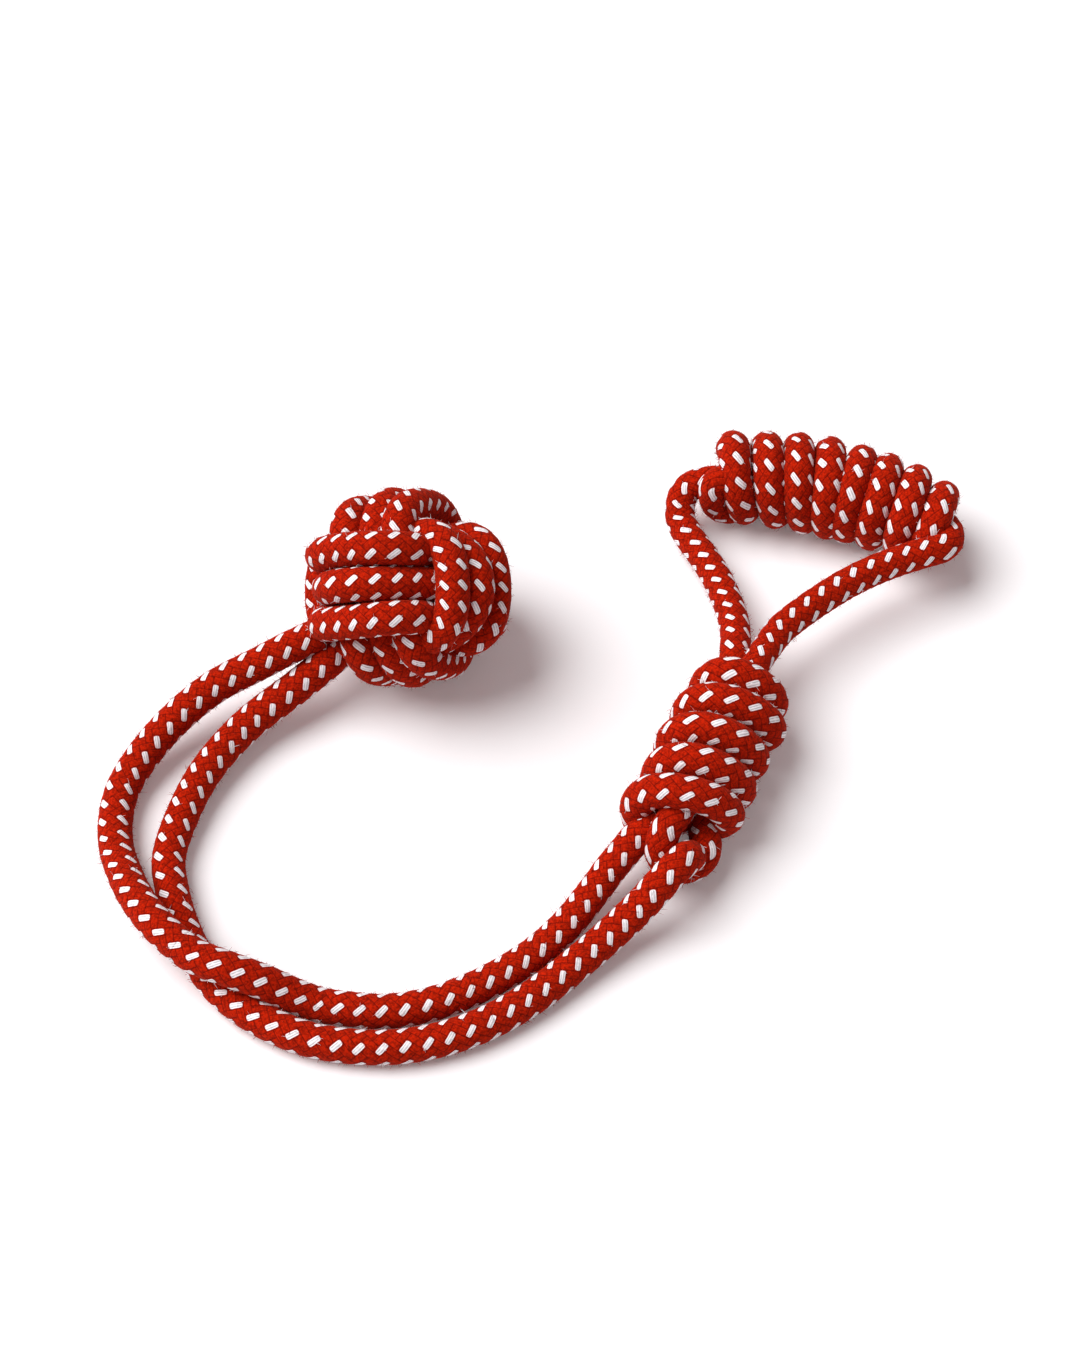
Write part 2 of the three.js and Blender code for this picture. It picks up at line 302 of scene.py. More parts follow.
# Ball: middle, tilt, upward and forward directions and squeeze. For each pass: its turns about those two, its
# shift across and its outer turns' offset, in rope diameters, and its rise in metres. Its turns' waves, in rope
# diameters: mean, second and fourth harmonic
BALL = (-0.04200, 0.03800, 0.03020)
BALL_TILT = (-57, -2, -129)
BALL_UP = (0.0, 0.80902, 0.58779)
BALL_FRONT = (0.0, -0.58779, 0.80902)
BALL_SQUEEZE = (1.04, 0.945)
BALL_PASSES = ((0, 0, 0.07, 1.08, 0.0), (0, 0, 0.0, 0.86, 0.0), (14, 3, -0.12, 0.85, 0.0013))
MIDDLE_TURN = (2.14, 0.45, 0.07)
OUTER_TURN = (1.97, 0.81, -0.27)

# Camera, lamp, room and floor
CAMERA_PLACE = (-0.00225, -0.4919, 0.7170)
CAMERA_TARGET = (-0.00225, 0.02903, 0.0)
LENS_MM = 77.3
SENSOR_MM = 36
LAMP_PLACE = (-1.30, 0.24, 1.90)
LAMP_WIDTH = 52
ROOM_COLOUR = (1.0, 0.82, 0.83)
ROOM_STRENGTH = 0.24
FLOOR_HALF = 4
FLOOR_GLOW = 0.12


class RopeToySettings(bpy.types.PropertyGroup):
    """Sizes and colours that a user would change."""

    rope_diameter: bpy.props.FloatProperty(
        name="Rope diameter", description="Free diameter of the braided rope", default=0.010, unit="LENGTH"
    )
    fleck_pitch: bpy.props.FloatProperty(
        name="Fleck pitch",
        description="Distance between white flecks along the rope",
        default=0.0062,
        unit="LENGTH",
    )
    relief: bpy.props.FloatProperty(
        name="Relief", description="Depth of the braid's grooves", default=0.00030, unit="LENGTH"
    )
    fibres: bpy.props.FloatProperty(
        name="Fibres", description="Loose fibres on each millimetre of rope", default=8.0, min=0
    )
    red: bpy.props.FloatVectorProperty(
        name="Red", description="Colour of the dyed cotton", default=(0.465, 0.0135, 0.001), subtype="COLOR"
    )
    # Painted shade: the dark red that the grooves between the braid's floats are coloured towards
    groove_painted_shade: bpy.props.FloatVectorProperty(
        name="Groove painted shade", description="Painted shade in the grooves", default=(0.10, 0.002, 0.001), subtype="COLOR"
    )
    fleck: bpy.props.FloatVectorProperty(
        name="Fleck", description="Colour of the undyed yarn", default=(1.0, 0.97, 1.0), subtype="COLOR"
    )
    wood: bpy.props.FloatVectorProperty(
        name="Wood", description="Colour of the bead in the ball", default=(0.48, 0.25, 0.10), subtype="COLOR"
    )
    floor: bpy.props.FloatVectorProperty(
        name="Floor", description="Colour of the floor", default=(0.92, 0.92, 0.93), subtype="COLOR"
    )
    lamp_strength: bpy.props.FloatProperty(
        name="Lamp", description="Strength of the lamp, in watts on each square metre", default=3.6
    )


def settings():
    return bpy.context.scene.rope_toy


def along_route(points, step):
    """Places an equal distance apart on a centripetal spline through the points: between two points it is the
    cubic whose ends have the slopes that the neighbours' distances, to the power of one half, give."""
    p = np.asarray(points, float)
    p = np.vstack([2 * p[0] - p[1], p, 2 * p[-1] - p[-2]])
    a, b, c, d = p[:-3], p[1:-2], p[2:-1], p[3:]
    gap = [np.sqrt(np.linalg.norm(n - m, axis=1))[:, None] for m, n in ((a, b), (b, c), (c, d))]
    slope_b = ((b - a) / gap[0] - (c - a) / (gap[0] + gap[1]) + (c - b) / gap[1]) * gap[1]
    slope_c = ((c - b) / gap[1] - (d - b) / (gap[1] + gap[2]) + (d - c) / gap[2]) * gap[1]
    t = (np.arange(64) / 64)[None, :, None]
    b, c, slope_b, slope_c = b[:, None], c[:, None], slope_b[:, None], slope_c[:, None]
    curve = (
        b
        + slope_b * t
        + (3 * (c - b) - 2 * slope_b - slope_c) * t**2
        + (2 * (b - c) + slope_b + slope_c) * t**3
    ).reshape(-1, 3)
    return evenly(np.vstack([curve, p[-2]]), step)


def evenly(line, step):
    """The same line with its points an equal distance apart, close to step."""
    length = np.r_[0, np.cumsum(np.linalg.norm(np.diff(line, axis=0), axis=1))]
    at = np.linspace(0, length[-1], max(3, round(length[-1] / step) + 1))
    return np.stack([np.interp(at, length, line[:, i]) for i in range(3)], axis=1)


class Run:
    """A run of rope: its stations, two directions across it that turn with it as little as they can, its
    radius and how far the braid has come, in lays."""

    def __init__(self, line, radius, pitch=1.0, closed=False, turned=0.0, flat=None, seed=1):
        size, fleck_pitch = settings().rope_diameter, settings().fleck_pitch
        self.line, self.closed, self.flat, self.seed = line, closed, flat, seed
        ahead = np.roll(line, -1, 0) - np.roll(line, 1, 0) if closed else np.gradient(line, axis=0)
        self.along = ahead / np.linalg.norm(ahead, axis=1)[:, None]
        self.radius = size * np.broadcast_to(radius, len(line)).astype(float)
        step = np.linalg.norm(np.diff(line, axis=0, append=line[:1]), axis=1)
        self.length = np.r_[0, np.cumsum(step[:-1])]
        lay = ROWS * fleck_pitch * np.broadcast_to(pitch, len(line))
        lays = np.r_[0, np.cumsum((step / lay)[:-1])]
        if closed:
            around = lays[-1] + step[-1] / lay[-1]
            self.lays_around = max(1, round(ROWS * around)) / ROWS
            lays = lays * (self.lays_around / around)
        self.lays = lays
        self.carry(turned)

    def carry(self, turned):
        """Each station's first direction is the last one's, less its part along the rope there."""
        first = np.cross(self.along[0], (0, 0, 1.0))
        if np.linalg.norm(first) < 0.2:
            first = np.cross(self.along[0], (1.0, 0, 0))
        firsts = [first / np.linalg.norm(first)]
        for along in self.along[1:]:
            first = firsts[-1] - (firsts[-1] @ along) * along
            firsts.append(first / np.linalg.norm(first))
        first = np.array(firsts)
        second = np.cross(self.along, first)
        if self.closed:
            last = first[-1] - (first[-1] @ self.along[0]) * self.along[0]
            miss = math.atan2(last @ second[0], last @ first[0])
            back = -miss * np.arange(len(first)) / len(first)
            cos, sin = np.cos(back)[:, None], np.sin(back)[:, None]
            first, second = cos * first + sin * second, cos * second - sin * first
        cos, sin = math.cos(2 * math.pi * turned), math.sin(2 * math.pi * turned)
        self.first, self.second = cos * first + sin * second, cos * second - sin * first

    def part(self, start, end):
        """The stretch of this run between two stations."""
        stretch = object.__new__(Run)
        stretch.closed, stretch.seed = False, self.seed
        cut = slice(start, end + 1)
        for name in ("line", "along", "radius", "length", "lays", "first", "second"):
            setattr(stretch, name, getattr(self, name)[cut])
        stretch.flat = None if self.flat is None else (self.flat[0][cut], self.flat[1])
        return stretch

    def station(self, length):
        return int(np.argmin(np.abs(self.length - length)))


def lattice(around, along):
    """Where a place on the braid is on the yarn that lies on top there. The yarns of each way are numbered by
    the nearest whole u or v, and one way is on top where v's number less u's, over four, leaves 0 or 1. Gives
    whether the yarn is undyed there, and the distance across it and along its float."""
    u, v = YARNS * (around + along), YARNS * (around - along)
    i, j = np.round(u), np.round(v)
    left = np.mod(j - i, 4)
    top = left < 1.5
    across = np.where(top, u - i, v - j)
    lengthwise = np.where(top, v - j + left - 0.5, u - i + 2.5 - left)
    return top & (np.mod(i, 2) < 0.5), across, lengthwise


def braid_height(around, along):
    """Height of the braid, from 0 in the grooves to 1: each float is round across and arched along."""
    undyed, across, lengthwise = lattice(around, along)
    round_across = np.sqrt(np.clip(1 - (1.9 * across) ** 2, 0, 1))
    arched = np.clip(1 - np.abs(lengthwise) ** 3.2, 0, 1) ** 0.5
    return (0.25 + 0.75 * round_across) * (0.3 + 0.7 * arched) + 0.08 * undyed


def wander(run, around):
    """How far the hand-drawn braid strays around and along the rope: a few long sine waves of the two."""
    draw = np.random.default_rng(run.seed)
    stray = np.zeros((2, len(run.line), len(around)))
    waves = run.lays[:, None]
    if run.closed:
        counts = np.array([1, 2, 3, 4]) / run.lays_around
    else:
        counts = draw.uniform(0.15, 1.1, 4)
    for count, lobes in zip(counts, (0, 1, 2, 1)):
        phase = draw.uniform(0, 2 * math.pi, 2)
        for k, size in enumerate((0.0045, 0.0035)):
            stray[k] += size * np.sin(2 * math.pi * (count * waves + lobes * around[None]) + phase[k])
    return stray


def skin(name, run, frayed=0):
    """A rope's surface: at each station and angle, the centre plus the radius and the braid's height along
    the direction that the angle gives between the two directions across. A low dome closes an end."""
    sides = np.arange(SIDES + 1) / SIDES
    stray = wander(run, sides)
    around = sides[None] + stray[0]
    along = run.lays[:, None] + stray[1]
    relief = settings().relief
    height = braid_height(around, along)[:, :-1]
    reach = run.radius[:, None] + relief * (height - 0.75)
    angle = 2 * math.pi * sides[:-1]
    cos, sin = np.cos(angle)[None, :, None], np.sin(angle)[None, :, None]
    out = cos * run.first[:, None] + sin * run.second[:, None]
    offset = reach[..., None] * out
    if run.flat is not None:
        axis, share = run.flat
        offset += (share - 1) * np.einsum("ksi,ki->ks", offset, axis)[..., None] * axis[:, None]
    points = run.line[:, None] + offset
    rings = len(run.line)
    faces_along = rings if run.closed else rings - 1
    k, m = np.meshgrid(np.arange(SIDES), np.arange(faces_along))
    k1, m1 = (k + 1) % SIDES, (m + 1) % rings
    quads = np.stack([m * SIDES + k, m * SIDES + k1, m1 * SIDES + k1, m1 * SIDES + k], axis=-1).reshape(-1, 4)
    if run.closed:
        around = np.vstack([around, around[:1]])
        along = np.vstack([along, along[:1] + run.lays_around])
    corner = lambda a: np.stack([a[m, k], a[m, k + 1], a[m + 1, k + 1], a[m + 1, k]], axis=-1).reshape(-1)
    uv = np.stack([corner(around), corner(along)], axis=-1)
    points = points.reshape(-1, 3)
    fans, fan_uv = [], []
    if not run.closed:
        for ring, way in ((0, -1), (rings - 1, 1)):
            centre = run.line[ring] + way * 0.02 * run.radius[ring] * run.along[ring]
            points = np.vstack([points, centre])
            edge = ring * SIDES + np.arange(SIDES)
            after = ring * SIDES + (np.arange(SIDES) + 1) % SIDES
            pair = (after, edge) if way < 0 else (edge, after)
            fans.append(np.stack([*pair, np.full(SIDES, len(points) - 1)], axis=-1))
            a, b = (around[ring, 1:], around[ring, :-1]) if way < 0 else (around[ring, :-1], around[ring, 1:])
            va, vb = (along[ring, 1:], along[ring, :-1]) if way < 0 else (along[ring, :-1], along[ring, 1:])
            fan = [np.stack([a, b, (a + b) / 2], -1), np.stack([va, vb, (va + vb) / 2], -1)]
            fan_uv.append(np.stack(fan, -1).reshape(-1, 2))
    fibre_points, fibre_faces, fibre_uv = loose_fibres(run, points, around, along, frayed)
    fans.append(len(points) + fibre_faces)
    points = np.vstack([points, fibre_points])
    fan_uv.append(fibre_uv)
    points[:, 2] = np.maximum(points[:, 2], FLOOR_GAP)
    return mesh_piece(name, points, quads, fans, np.vstack([uv, *fan_uv]), cotton())


def loose_fibres(run, points, around, along, frayed):
    """Loose fibres on the rope's skin, each a thin closed spindle: from a corner of the skin it rises along a
    slanting direction and bends with the square of its length, and three corners stand around it at three
    rings, between a point at either end. A frayed end has a given number of longer ones over its last face."""
    draw = np.random.default_rng(1000 + run.seed)
    rings = len(run.line)
    count = int(settings().fibres * 1000 * (run.length[-1] - run.length[0]))
    m = np.r_[draw.integers(0, rings, count), np.full(frayed, rings - 1)]
    k = draw.integers(0, SIDES, count + frayed)
    count += frayed
    last = (np.arange(count) >= count - frayed)[:, None]
    spoke = points[m * SIDES + k] - run.line[m]
    root = run.line[m] + spoke * np.where(last, draw.uniform(0, 1, (count, 1)) ** 0.5, 1)
    spoke /= np.linalg.norm(spoke, axis=1)[:, None]
    side = np.cross(run.along[m], spoke)
    out = np.where(last, run.along[m], spoke)
    ahead = np.where(last, spoke, run.along[m])
    turn = draw.uniform(0, 2 * math.pi, (count, 1))
    flat = np.cos(turn) * ahead + np.sin(turn) * side
    lift = draw.uniform(0.15, 1.0, (count, 1)) + 0.6 * last
    length = draw.uniform(*FIBRE_LENGTH, (count, 1)) * (1 + 0.2 * last)
    bend = draw.normal(0, 0.35, (count, 3))
    thin = draw.uniform(*FIBRE_RADIUS, (count, 1)) * (1 + 0.4 * last)
    steps = (-0.10, 0.25, 0.55, 0.85, 1.0)
    rise = lift * out + 0.8 * flat
    spine = np.stack([root + length * (t * rise + t * abs(t) * bend * 0.6) for t in steps], axis=1)
    angle = 2 * math.pi * np.arange(3) / 3
    cos, sin = np.cos(angle)[None, :, None], np.sin(angle)[None, :, None]
    circle = cos * out[:, None] + sin * np.cross(flat, out)[:, None]
    taper = thin[:, :, None] * np.array([1.0, 0.8, 0.5])[:, None]
    middle = spine[:, 1:4, None] + taper[..., None] * circle[:, None]
    corners = np.concatenate([spine[:, :1], middle.reshape(count, 9, 3), spine[:, 4:]], axis=1)
    pattern = []
    for a in range(3):
        b = (a + 1) % 3
        pattern += [(0, 1 + b, 1 + a), (10, 7 + a, 7 + b)]
        for ring in (1, 4):
            pattern += [(ring + a, ring + b, ring + 3 + b), (ring + a, ring + 3 + b, ring + 3 + a)]
    faces = 11 * np.arange(count)[:, None, None] + np.array(pattern)
    here = np.stack([around[m, k], along[m, k]], axis=-1)
    return corners.reshape(-1, 3), faces.reshape(-1, 3), np.repeat(here, 3 * len(pattern), axis=0)


def mesh_piece(name, points, quads, fans, uv, material):
    """A mesh object from whole arrays of corners, four-sided faces, triangles and the faces' map."""
    mesh = bpy.data.meshes.new(name)
    triangles = np.concatenate(fans).astype(int)
    corners = np.concatenate([quads.reshape(-1), triangles.reshape(-1)])
    sizes = np.r_[np.full(len(quads), 4), np.full(len(triangles), 3)]
    mesh.vertices.add(len(points))
    mesh.vertices.foreach_set("co", points.astype(np.float32).reshape(-1))
    mesh.loops.add(len(corners))
    mesh.loops.foreach_set("vertex_index", corners.astype(np.int32))
    mesh.polygons.add(len(sizes))
    mesh.polygons.foreach_set("loop_start", np.r_[0, np.cumsum(sizes)[:-1]].astype(np.int32))
    mesh.polygons.foreach_set("use_smooth", np.ones(len(sizes), bool))
    mesh.update(calc_edges=True)
    layer = mesh.uv_layers.new(name="braid")
    layer.data.foreach_set("uv", uv.astype(np.float32).reshape(-1))
    mesh.validate()
    mesh.materials.append(material)
    piece = bpy.data.objects.new(name, mesh)
    bpy.context.scene.collection.objects.link(piece)
    return piece


def sockets(tree, kind, names):
    """Add a node group's inputs or outputs."""
    side = "INPUT" if kind == "in" else "OUTPUT"
    for name, form in names:
        tree.interface.new_socket(name=name, in_out=side, socket_type="NodeSocket" + form)


def feed(tree, socket, value):
    """Link a socket, or set it to a value."""
    if isinstance(value, bpy.types.NodeSocket):
        tree.links.new(value, socket)
    else:
        socket.default_value = value


def maths(tree, operation, *values):
    """One Math node on sockets or numbers."""
    node = tree.nodes.new("ShaderNodeMath")
    node.operation = operation
    for socket, value in zip(node.inputs, values):
        feed(tree, socket, value)
    return node.outputs[0]


def mixed(tree, share, a, b):
    """One colour between two."""
    node = tree.nodes.new("ShaderNodeMix")
    node.data_type = "RGBA"
    feed(tree, node.inputs["Factor"], share)
    for socket, value in ((node.inputs[6], a), (node.inputs[7], b)):
        feed(tree, socket, (*value, 1) if isinstance(value, (tuple, list)) else value)
    return node.outputs[2]


def ramp(tree, value, low, high):
    """0 below low, 1 above high, and smooth between."""
    node = tree.nodes.new("ShaderNodeMapRange")
    node.interpolation_type = "SMOOTHSTEP"
    feed(tree, node.inputs["Value"], value)
    node.inputs["From Min"].default_value = low
    node.inputs["From Max"].default_value = high
    return node.outputs["Result"]


def braid_group():
    """The braid over a rope's map: the undyed floats, a mask of the grooves for painted shade and the fine
    yarns' height.
    """
    if "braid" in bpy.data.node_groups:
        return bpy.data.node_groups["braid"]
    tree = bpy.data.node_groups.new("braid", "ShaderNodeTree")
    sockets(tree, "in", [("Map", "Vector"), ("Place", "Vector")])
    sockets(tree, "out", [("Fleck", "Float"), ("Groove shade", "Float"), ("Height", "Float")])
    inside, outside = tree.nodes.new("NodeGroupInput"), tree.nodes.new("NodeGroupOutput")
    split = tree.nodes.new("ShaderNodeSeparateXYZ")
    tree.links.new(inside.outputs["Map"], split.inputs[0])
    around, along = split.outputs[0], split.outputs[1]
    u = maths(tree, "MULTIPLY", maths(tree, "ADD", around, along), YARNS)
    v = maths(tree, "MULTIPLY", maths(tree, "SUBTRACT", around, along), YARNS)
    i, j = maths(tree, "ROUND", u), maths(tree, "ROUND", v)
    du, dv = maths(tree, "SUBTRACT", u, i), maths(tree, "SUBTRACT", v, j)
    left = maths(tree, "FLOORED_MODULO", maths(tree, "ADD", maths(tree, "SUBTRACT", j, i), 0.25), 4)
    top = maths(tree, "LESS_THAN", left, 1.75)
    under = maths(tree, "SUBTRACT", 1, top)
    across = maths(tree, "ADD", maths(tree, "MULTIPLY", du, top), maths(tree, "MULTIPLY", dv, under))
    on_top = maths(tree, "ADD", dv, maths(tree, "SUBTRACT", left, 0.75))
    on_under = maths(tree, "ADD", du, maths(tree, "SUBTRACT", 2.75, left))
    lengthwise = maths(
        tree, "ADD", maths(tree, "MULTIPLY", on_top, top), maths(tree, "MULTIPLY", on_under, under)
    )
    even = maths(
        tree, "LESS_THAN", maths(tree, "FLOORED_MODULO", maths(tree, "ADD", i, 0.25), 2), 0.75
    )
    width, reach = maths(tree, "ABSOLUTE", across), maths(tree, "ABSOLUTE", lengthwise)
    noise = tree.nodes.new("ShaderNodeTexNoise")
    tree.links.new(inside.outputs["Place"], noise.inputs["Vector"])
    noise.inputs["Scale"].default_value = 900
    noise.inputs["Detail"].default_value = 3
    ragged = maths(tree, "MULTIPLY", maths(tree, "SUBTRACT", noise.outputs[0], 0.5), 0.5)
    oval = maths(
        tree,
        "ADD",
        maths(tree, "POWER", maths(tree, "DIVIDE", width, 0.385), 4.0),
        maths(tree, "POWER", maths(tree, "DIVIDE", reach, 0.87), 6.0),
    )
    body = ramp(tree, maths(tree, "ADD", oval, ragged), 1.12, 0.82)
    fleck = maths(tree, "MULTIPLY", body, maths(tree, "MULTIPLY", top, even))
    # Groove mask for painted shade: 1 on the floats' edges and ends, where the cotton is darkened
    ridge = maths(tree, "MULTIPLY", ramp(tree, width, 0.52, 0.40), ramp(tree, reach, 1.02, 0.86))
    groove_shade = maths(tree, "SUBTRACT", 1, ridge)
    strayed = maths(tree, "ADD", across, maths(tree, "MULTIPLY", ragged, 0.25))
    strands = maths(tree, "COSINE", maths(tree, "MULTIPLY", strayed, 2 * math.pi * 3))
    height = maths(tree, "ADD", maths(tree, "MULTIPLY", strands, 0.30), noise.outputs[0])
    for name, value in (("Fleck", fleck), ("Groove shade", groove_shade), ("Height", height)):
        tree.links.new(value, outside.inputs[name])
    return tree


def cotton():
    """Braided cotton: matt deep red with undyed floats, with painted shade in the grooves, and three fine yarns
    side by side in each float, the undyed floats darkened between them with painted shade and at random with
    noise."""
    if "braided_cotton" in bpy.data.materials:
        return bpy.data.materials["braided_cotton"]
    s = settings()
    material = bpy.data.materials.new("braided_cotton")
    material.use_nodes = True
    tree = material.node_tree
    shader = tree.nodes["Principled BSDF"]
    shader.inputs["Roughness"].default_value = 0.95
    shader.inputs["Specular IOR Level"].default_value = 0.06
    shader.inputs["Sheen Weight"].default_value = 0.08
    shader.inputs["Sheen Roughness"].default_value = 0.45
    shader.inputs["Sheen Tint"].default_value = (1.0, 0.30, 0.18, 1)
    uv = tree.nodes.new("ShaderNodeUVMap")
    uv.uv_map = "braid"
    place = tree.nodes.new("ShaderNodeTexCoord")
    braid = tree.nodes.new("ShaderNodeGroup")
    braid.node_tree = braid_group()
    tree.links.new(uv.outputs[0], braid.inputs["Map"])
    tree.links.new(place.outputs["Object"], braid.inputs["Place"])
    cloud = tree.nodes.new("ShaderNodeTexNoise")
    tree.links.new(place.outputs["Object"], cloud.inputs["Vector"])
    cloud.inputs["Scale"].default_value = 1300
    cloud.inputs["Detail"].default_value = 5
    cloud.inputs["Roughness"].default_value = 0.65
    mottle = ramp(tree, cloud.outputs[0], 0.34, 0.64)
    dyed = mixed(tree, mottle, tuple(0.52 * c for c in s.red), tuple(1.20 * c for c in s.red))
    # Painted shade: the dyed red turns towards the dark groove colour in the grooves between floats
    dyed = mixed(tree, maths(tree, "MULTIPLY", braid.outputs["Groove shade"], 0.92), dyed, tuple(s.groove_painted_shade))
    # Painted shade and random tone: the undyed floats darken to 0.62 of their colour where the fine yarns'
    # height is low, between the yarns, and where the noise is low
    fine_shade_and_tone = ramp(tree, braid.outputs["Height"], 0.15, 0.65)
    pale = mixed(tree, fine_shade_and_tone, tuple(c * 0.62 for c in s.fleck), tuple(s.fleck))
    colour = mixed(tree, braid.outputs["Fleck"], dyed, pale)
    tree.links.new(colour, shader.inputs["Base Color"])
    bump = tree.nodes.new("ShaderNodeBump")
    bump.inputs["Strength"].default_value = 0.6
    bump.inputs["Distance"].default_value = 0.00012
    tree.links.new(braid.outputs["Height"], bump.inputs["Height"])
    tree.links.new(bump.outputs[0], shader.inputs["Normal"])
    return material


def bare_wood():
    """Turned wood: rings of grain around the bead's own axis."""
    material = bpy.data.materials.new("bare_wood")
    material.use_nodes = True
    tree = material.node_tree
    shader = tree.nodes["Principled BSDF"]
    shader.inputs["Roughness"].default_value = 0.6
    place = tree.nodes.new("ShaderNodeTexCoord")
    grain = tree.nodes.new("ShaderNodeTexWave")
    tree.links.new(place.outputs["Object"], grain.inputs["Vector"])
    grain.inputs["Scale"].default_value = 160
    grain.inputs["Distortion"].default_value = 3
    wood = tuple(settings().wood)
    colour = mixed(tree, grain.outputs["Fac"], tuple(0.7 * c for c in wood), wood)
    tree.links.new(colour, shader.inputs["Base Color"])
    return material


def step_length():
    """A station for each side's share of a lay, so that the yarns run through the mesh's corners."""
    return ROWS * settings().fleck_pitch / SIDES


def settle(piece, body, *nodes):
    """Let a piece ride on a body and stand for the frame's solids, if any."""
    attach(piece, body)
    if nodes:
        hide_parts(*nodes)


def radii(line, shares):
    """The radius at each of a line's places, straight between the given shares of its length."""
    return np.interp(np.linspace(0, 1, len(line)), *shares)


def lay_strand(letter, points, cuts, shares, seed):
    """One strand as four free runs of one rope, each bending where the frame bends."""
    line = along_route(points, step_length())
    run = Run(line, radii(line, shares), pitch=STRAND_PITCH, seed=seed)
    at = [0, *(run.station(c) for c in cuts), len(line) - 1]
    names = ("ball_side", "far", "mid", "near")
    nodes = (
        ("tail", "neck_bend"),
        ("far_link", "far_bend"),
        ("mid_link", "near_bend"),
        ("near_link", "barrel_bend", "end"),
    )
    for k, name in enumerate(names):
        part = run.part(at[k], at[k + 1])
        piece = skin(f"rope_strand_{letter}_{name}", part)
        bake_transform(piece)
        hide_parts(*(f"strand_{letter}_{node}" for node in nodes[k]))
        path = part.line[:: max(1, len(part.line) // 60)]
        path = np.vstack([path, part.line[-1]])


class ROPETOY_OT_strands(bpy.types.Operator):
    """Lay the two strands from the ball to the barrel knot"""

    bl_idname = "ropetoy.strands"
    bl_label = "Strands"

    def execute(self, context):
        lay_strand("a", OUTER_STRAND, OUTER_CUTS, OUTER_RADII, seed=11)
        lay_strand("b", INNER_STRAND, INNER_CUTS, INNER_RADII, seed=12)
        return {"FINISHED"}


def turned_about(degrees):
    """A matrix for turns about X, Y and Z, in that order from the inside."""
    x, y, z = np.radians(degrees)
    cx, cy, cz, sx, sy, sz = np.cos(x), np.cos(y), np.cos(z), np.sin(x), np.sin(y), np.sin(z)
    about_x = np.array([[1, 0, 0], [0, cx, -sx], [0, sx, cx]])
    about_y = np.array([[cy, 0, sy], [0, 1, 0], [-sy, 0, cy]])
    about_z = np.array([[cz, -sz, 0], [sz, cz, 0], [0, 0, 1]])
    return about_x @ about_y @ about_z


def turned_round(axis, degrees):
    """A matrix for a turn about any axis: the identity, plus the cross product by the axis times the sine, plus
    that product's square times one less the cosine."""
    x, y, z = axis
    cross = np.array([[0, -z, y], [z, 0, -x], [-y, x, 0]])
    turn = math.radians(degrees)
    return np.eye(3) + math.sin(turn) * cross + (1 - math.cos(turn)) * cross @ cross


def keyed(rows, count):
    """The rows' values at an even count of their first column, straight between the rows and then averaged
    over a fifth of a turn, with near places counting more."""
    rows = np.array(rows)
    at = np.linspace(rows[0, 0], rows[-1, 0], count)
    reach = int(0.1 * count / (rows[-1, 0] - rows[0, 0]))
    weight = np.hanning(2 * reach + 1)
    weight /= weight.sum()
    columns = [np.pad(np.interp(at, rows[:, 0], column), reach, mode="edge") for column in rows[:, 1:].T]
    return at, *(np.convolve(column, weight, "valid") for column in columns)


class ROPETOY_OT_ball(bpy.types.Operator):
    """Tie the ball of three passes of three turns, each pass a third of a turn about the diagonal further"""

    bl_idname = "ropetoy.ball"
    bl_label = "Ball"

    def execute(self, context):
        size = settings().rope_diameter
        tilt = turned_about(BALL_TILT)
        up = np.array(BALL_UP)
        angle = np.linspace(0, 2 * math.pi, 1441)
        wave = lambda w: size * (w[0] + w[1] * np.cos(2 * angle) + w[2] * np.cos(4 * angle))
        for number, (turn, roll, shift, spread, lift) in enumerate(BALL_PASSES):
            swap = np.roll(np.eye(3), number, axis=0)
            turned = turned_round(BALL_FRONT, roll) @ turned_round(up, turn) @ tilt @ swap
            for lane in (-1, 0, 1):
                reach = wave(OUTER_TURN if lane else MIDDLE_TURN)
                offset = lane * wave((spread, 0.03, 0.02)) + size * shift
                loop = np.stack([reach * np.cos(angle), reach * np.sin(angle), offset], axis=1)
                loop = loop @ turned.T
                loop += (BALL_SQUEEZE[1] - 1) * (loop @ up)[:, None] * up
                loop[:, 0] *= BALL_SQUEEZE[0]
                line = evenly(loop + lift * up + np.array(BALL), step_length())[:-1]
                seed = 20 + 3 * number + lane
                turned_by = 0.31 * seed % 1
                run = Run(line, TURN_RADIUS, pitch=BALL_PITCH, closed=True, turned=turned_by, seed=seed)
                name = f"ball_pass_{number + 1}_turn_{lane + 2}"
                settle(skin("rope_" + name, run), "ball", name)
        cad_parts["ball_bead"].data.materials.clear()
        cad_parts["ball_bead"].data.materials.append(bare_wood())
        return {"FINISHED"}


def by_barrel(places):
    """Places along, left of and above the barrel's middle, in the part's own directions."""
    yaw = math.radians(BARREL_YAW)
    p = np.asarray(places, float)
    x = p[:, 0] * math.cos(yaw) - p[:, 1] * math.sin(yaw)
    y = p[:, 0] * math.sin(yaw) + p[:, 1] * math.cos(yaw)
    return np.stack([x, y, p[:, 2]], axis=1) + np.array(BARREL)


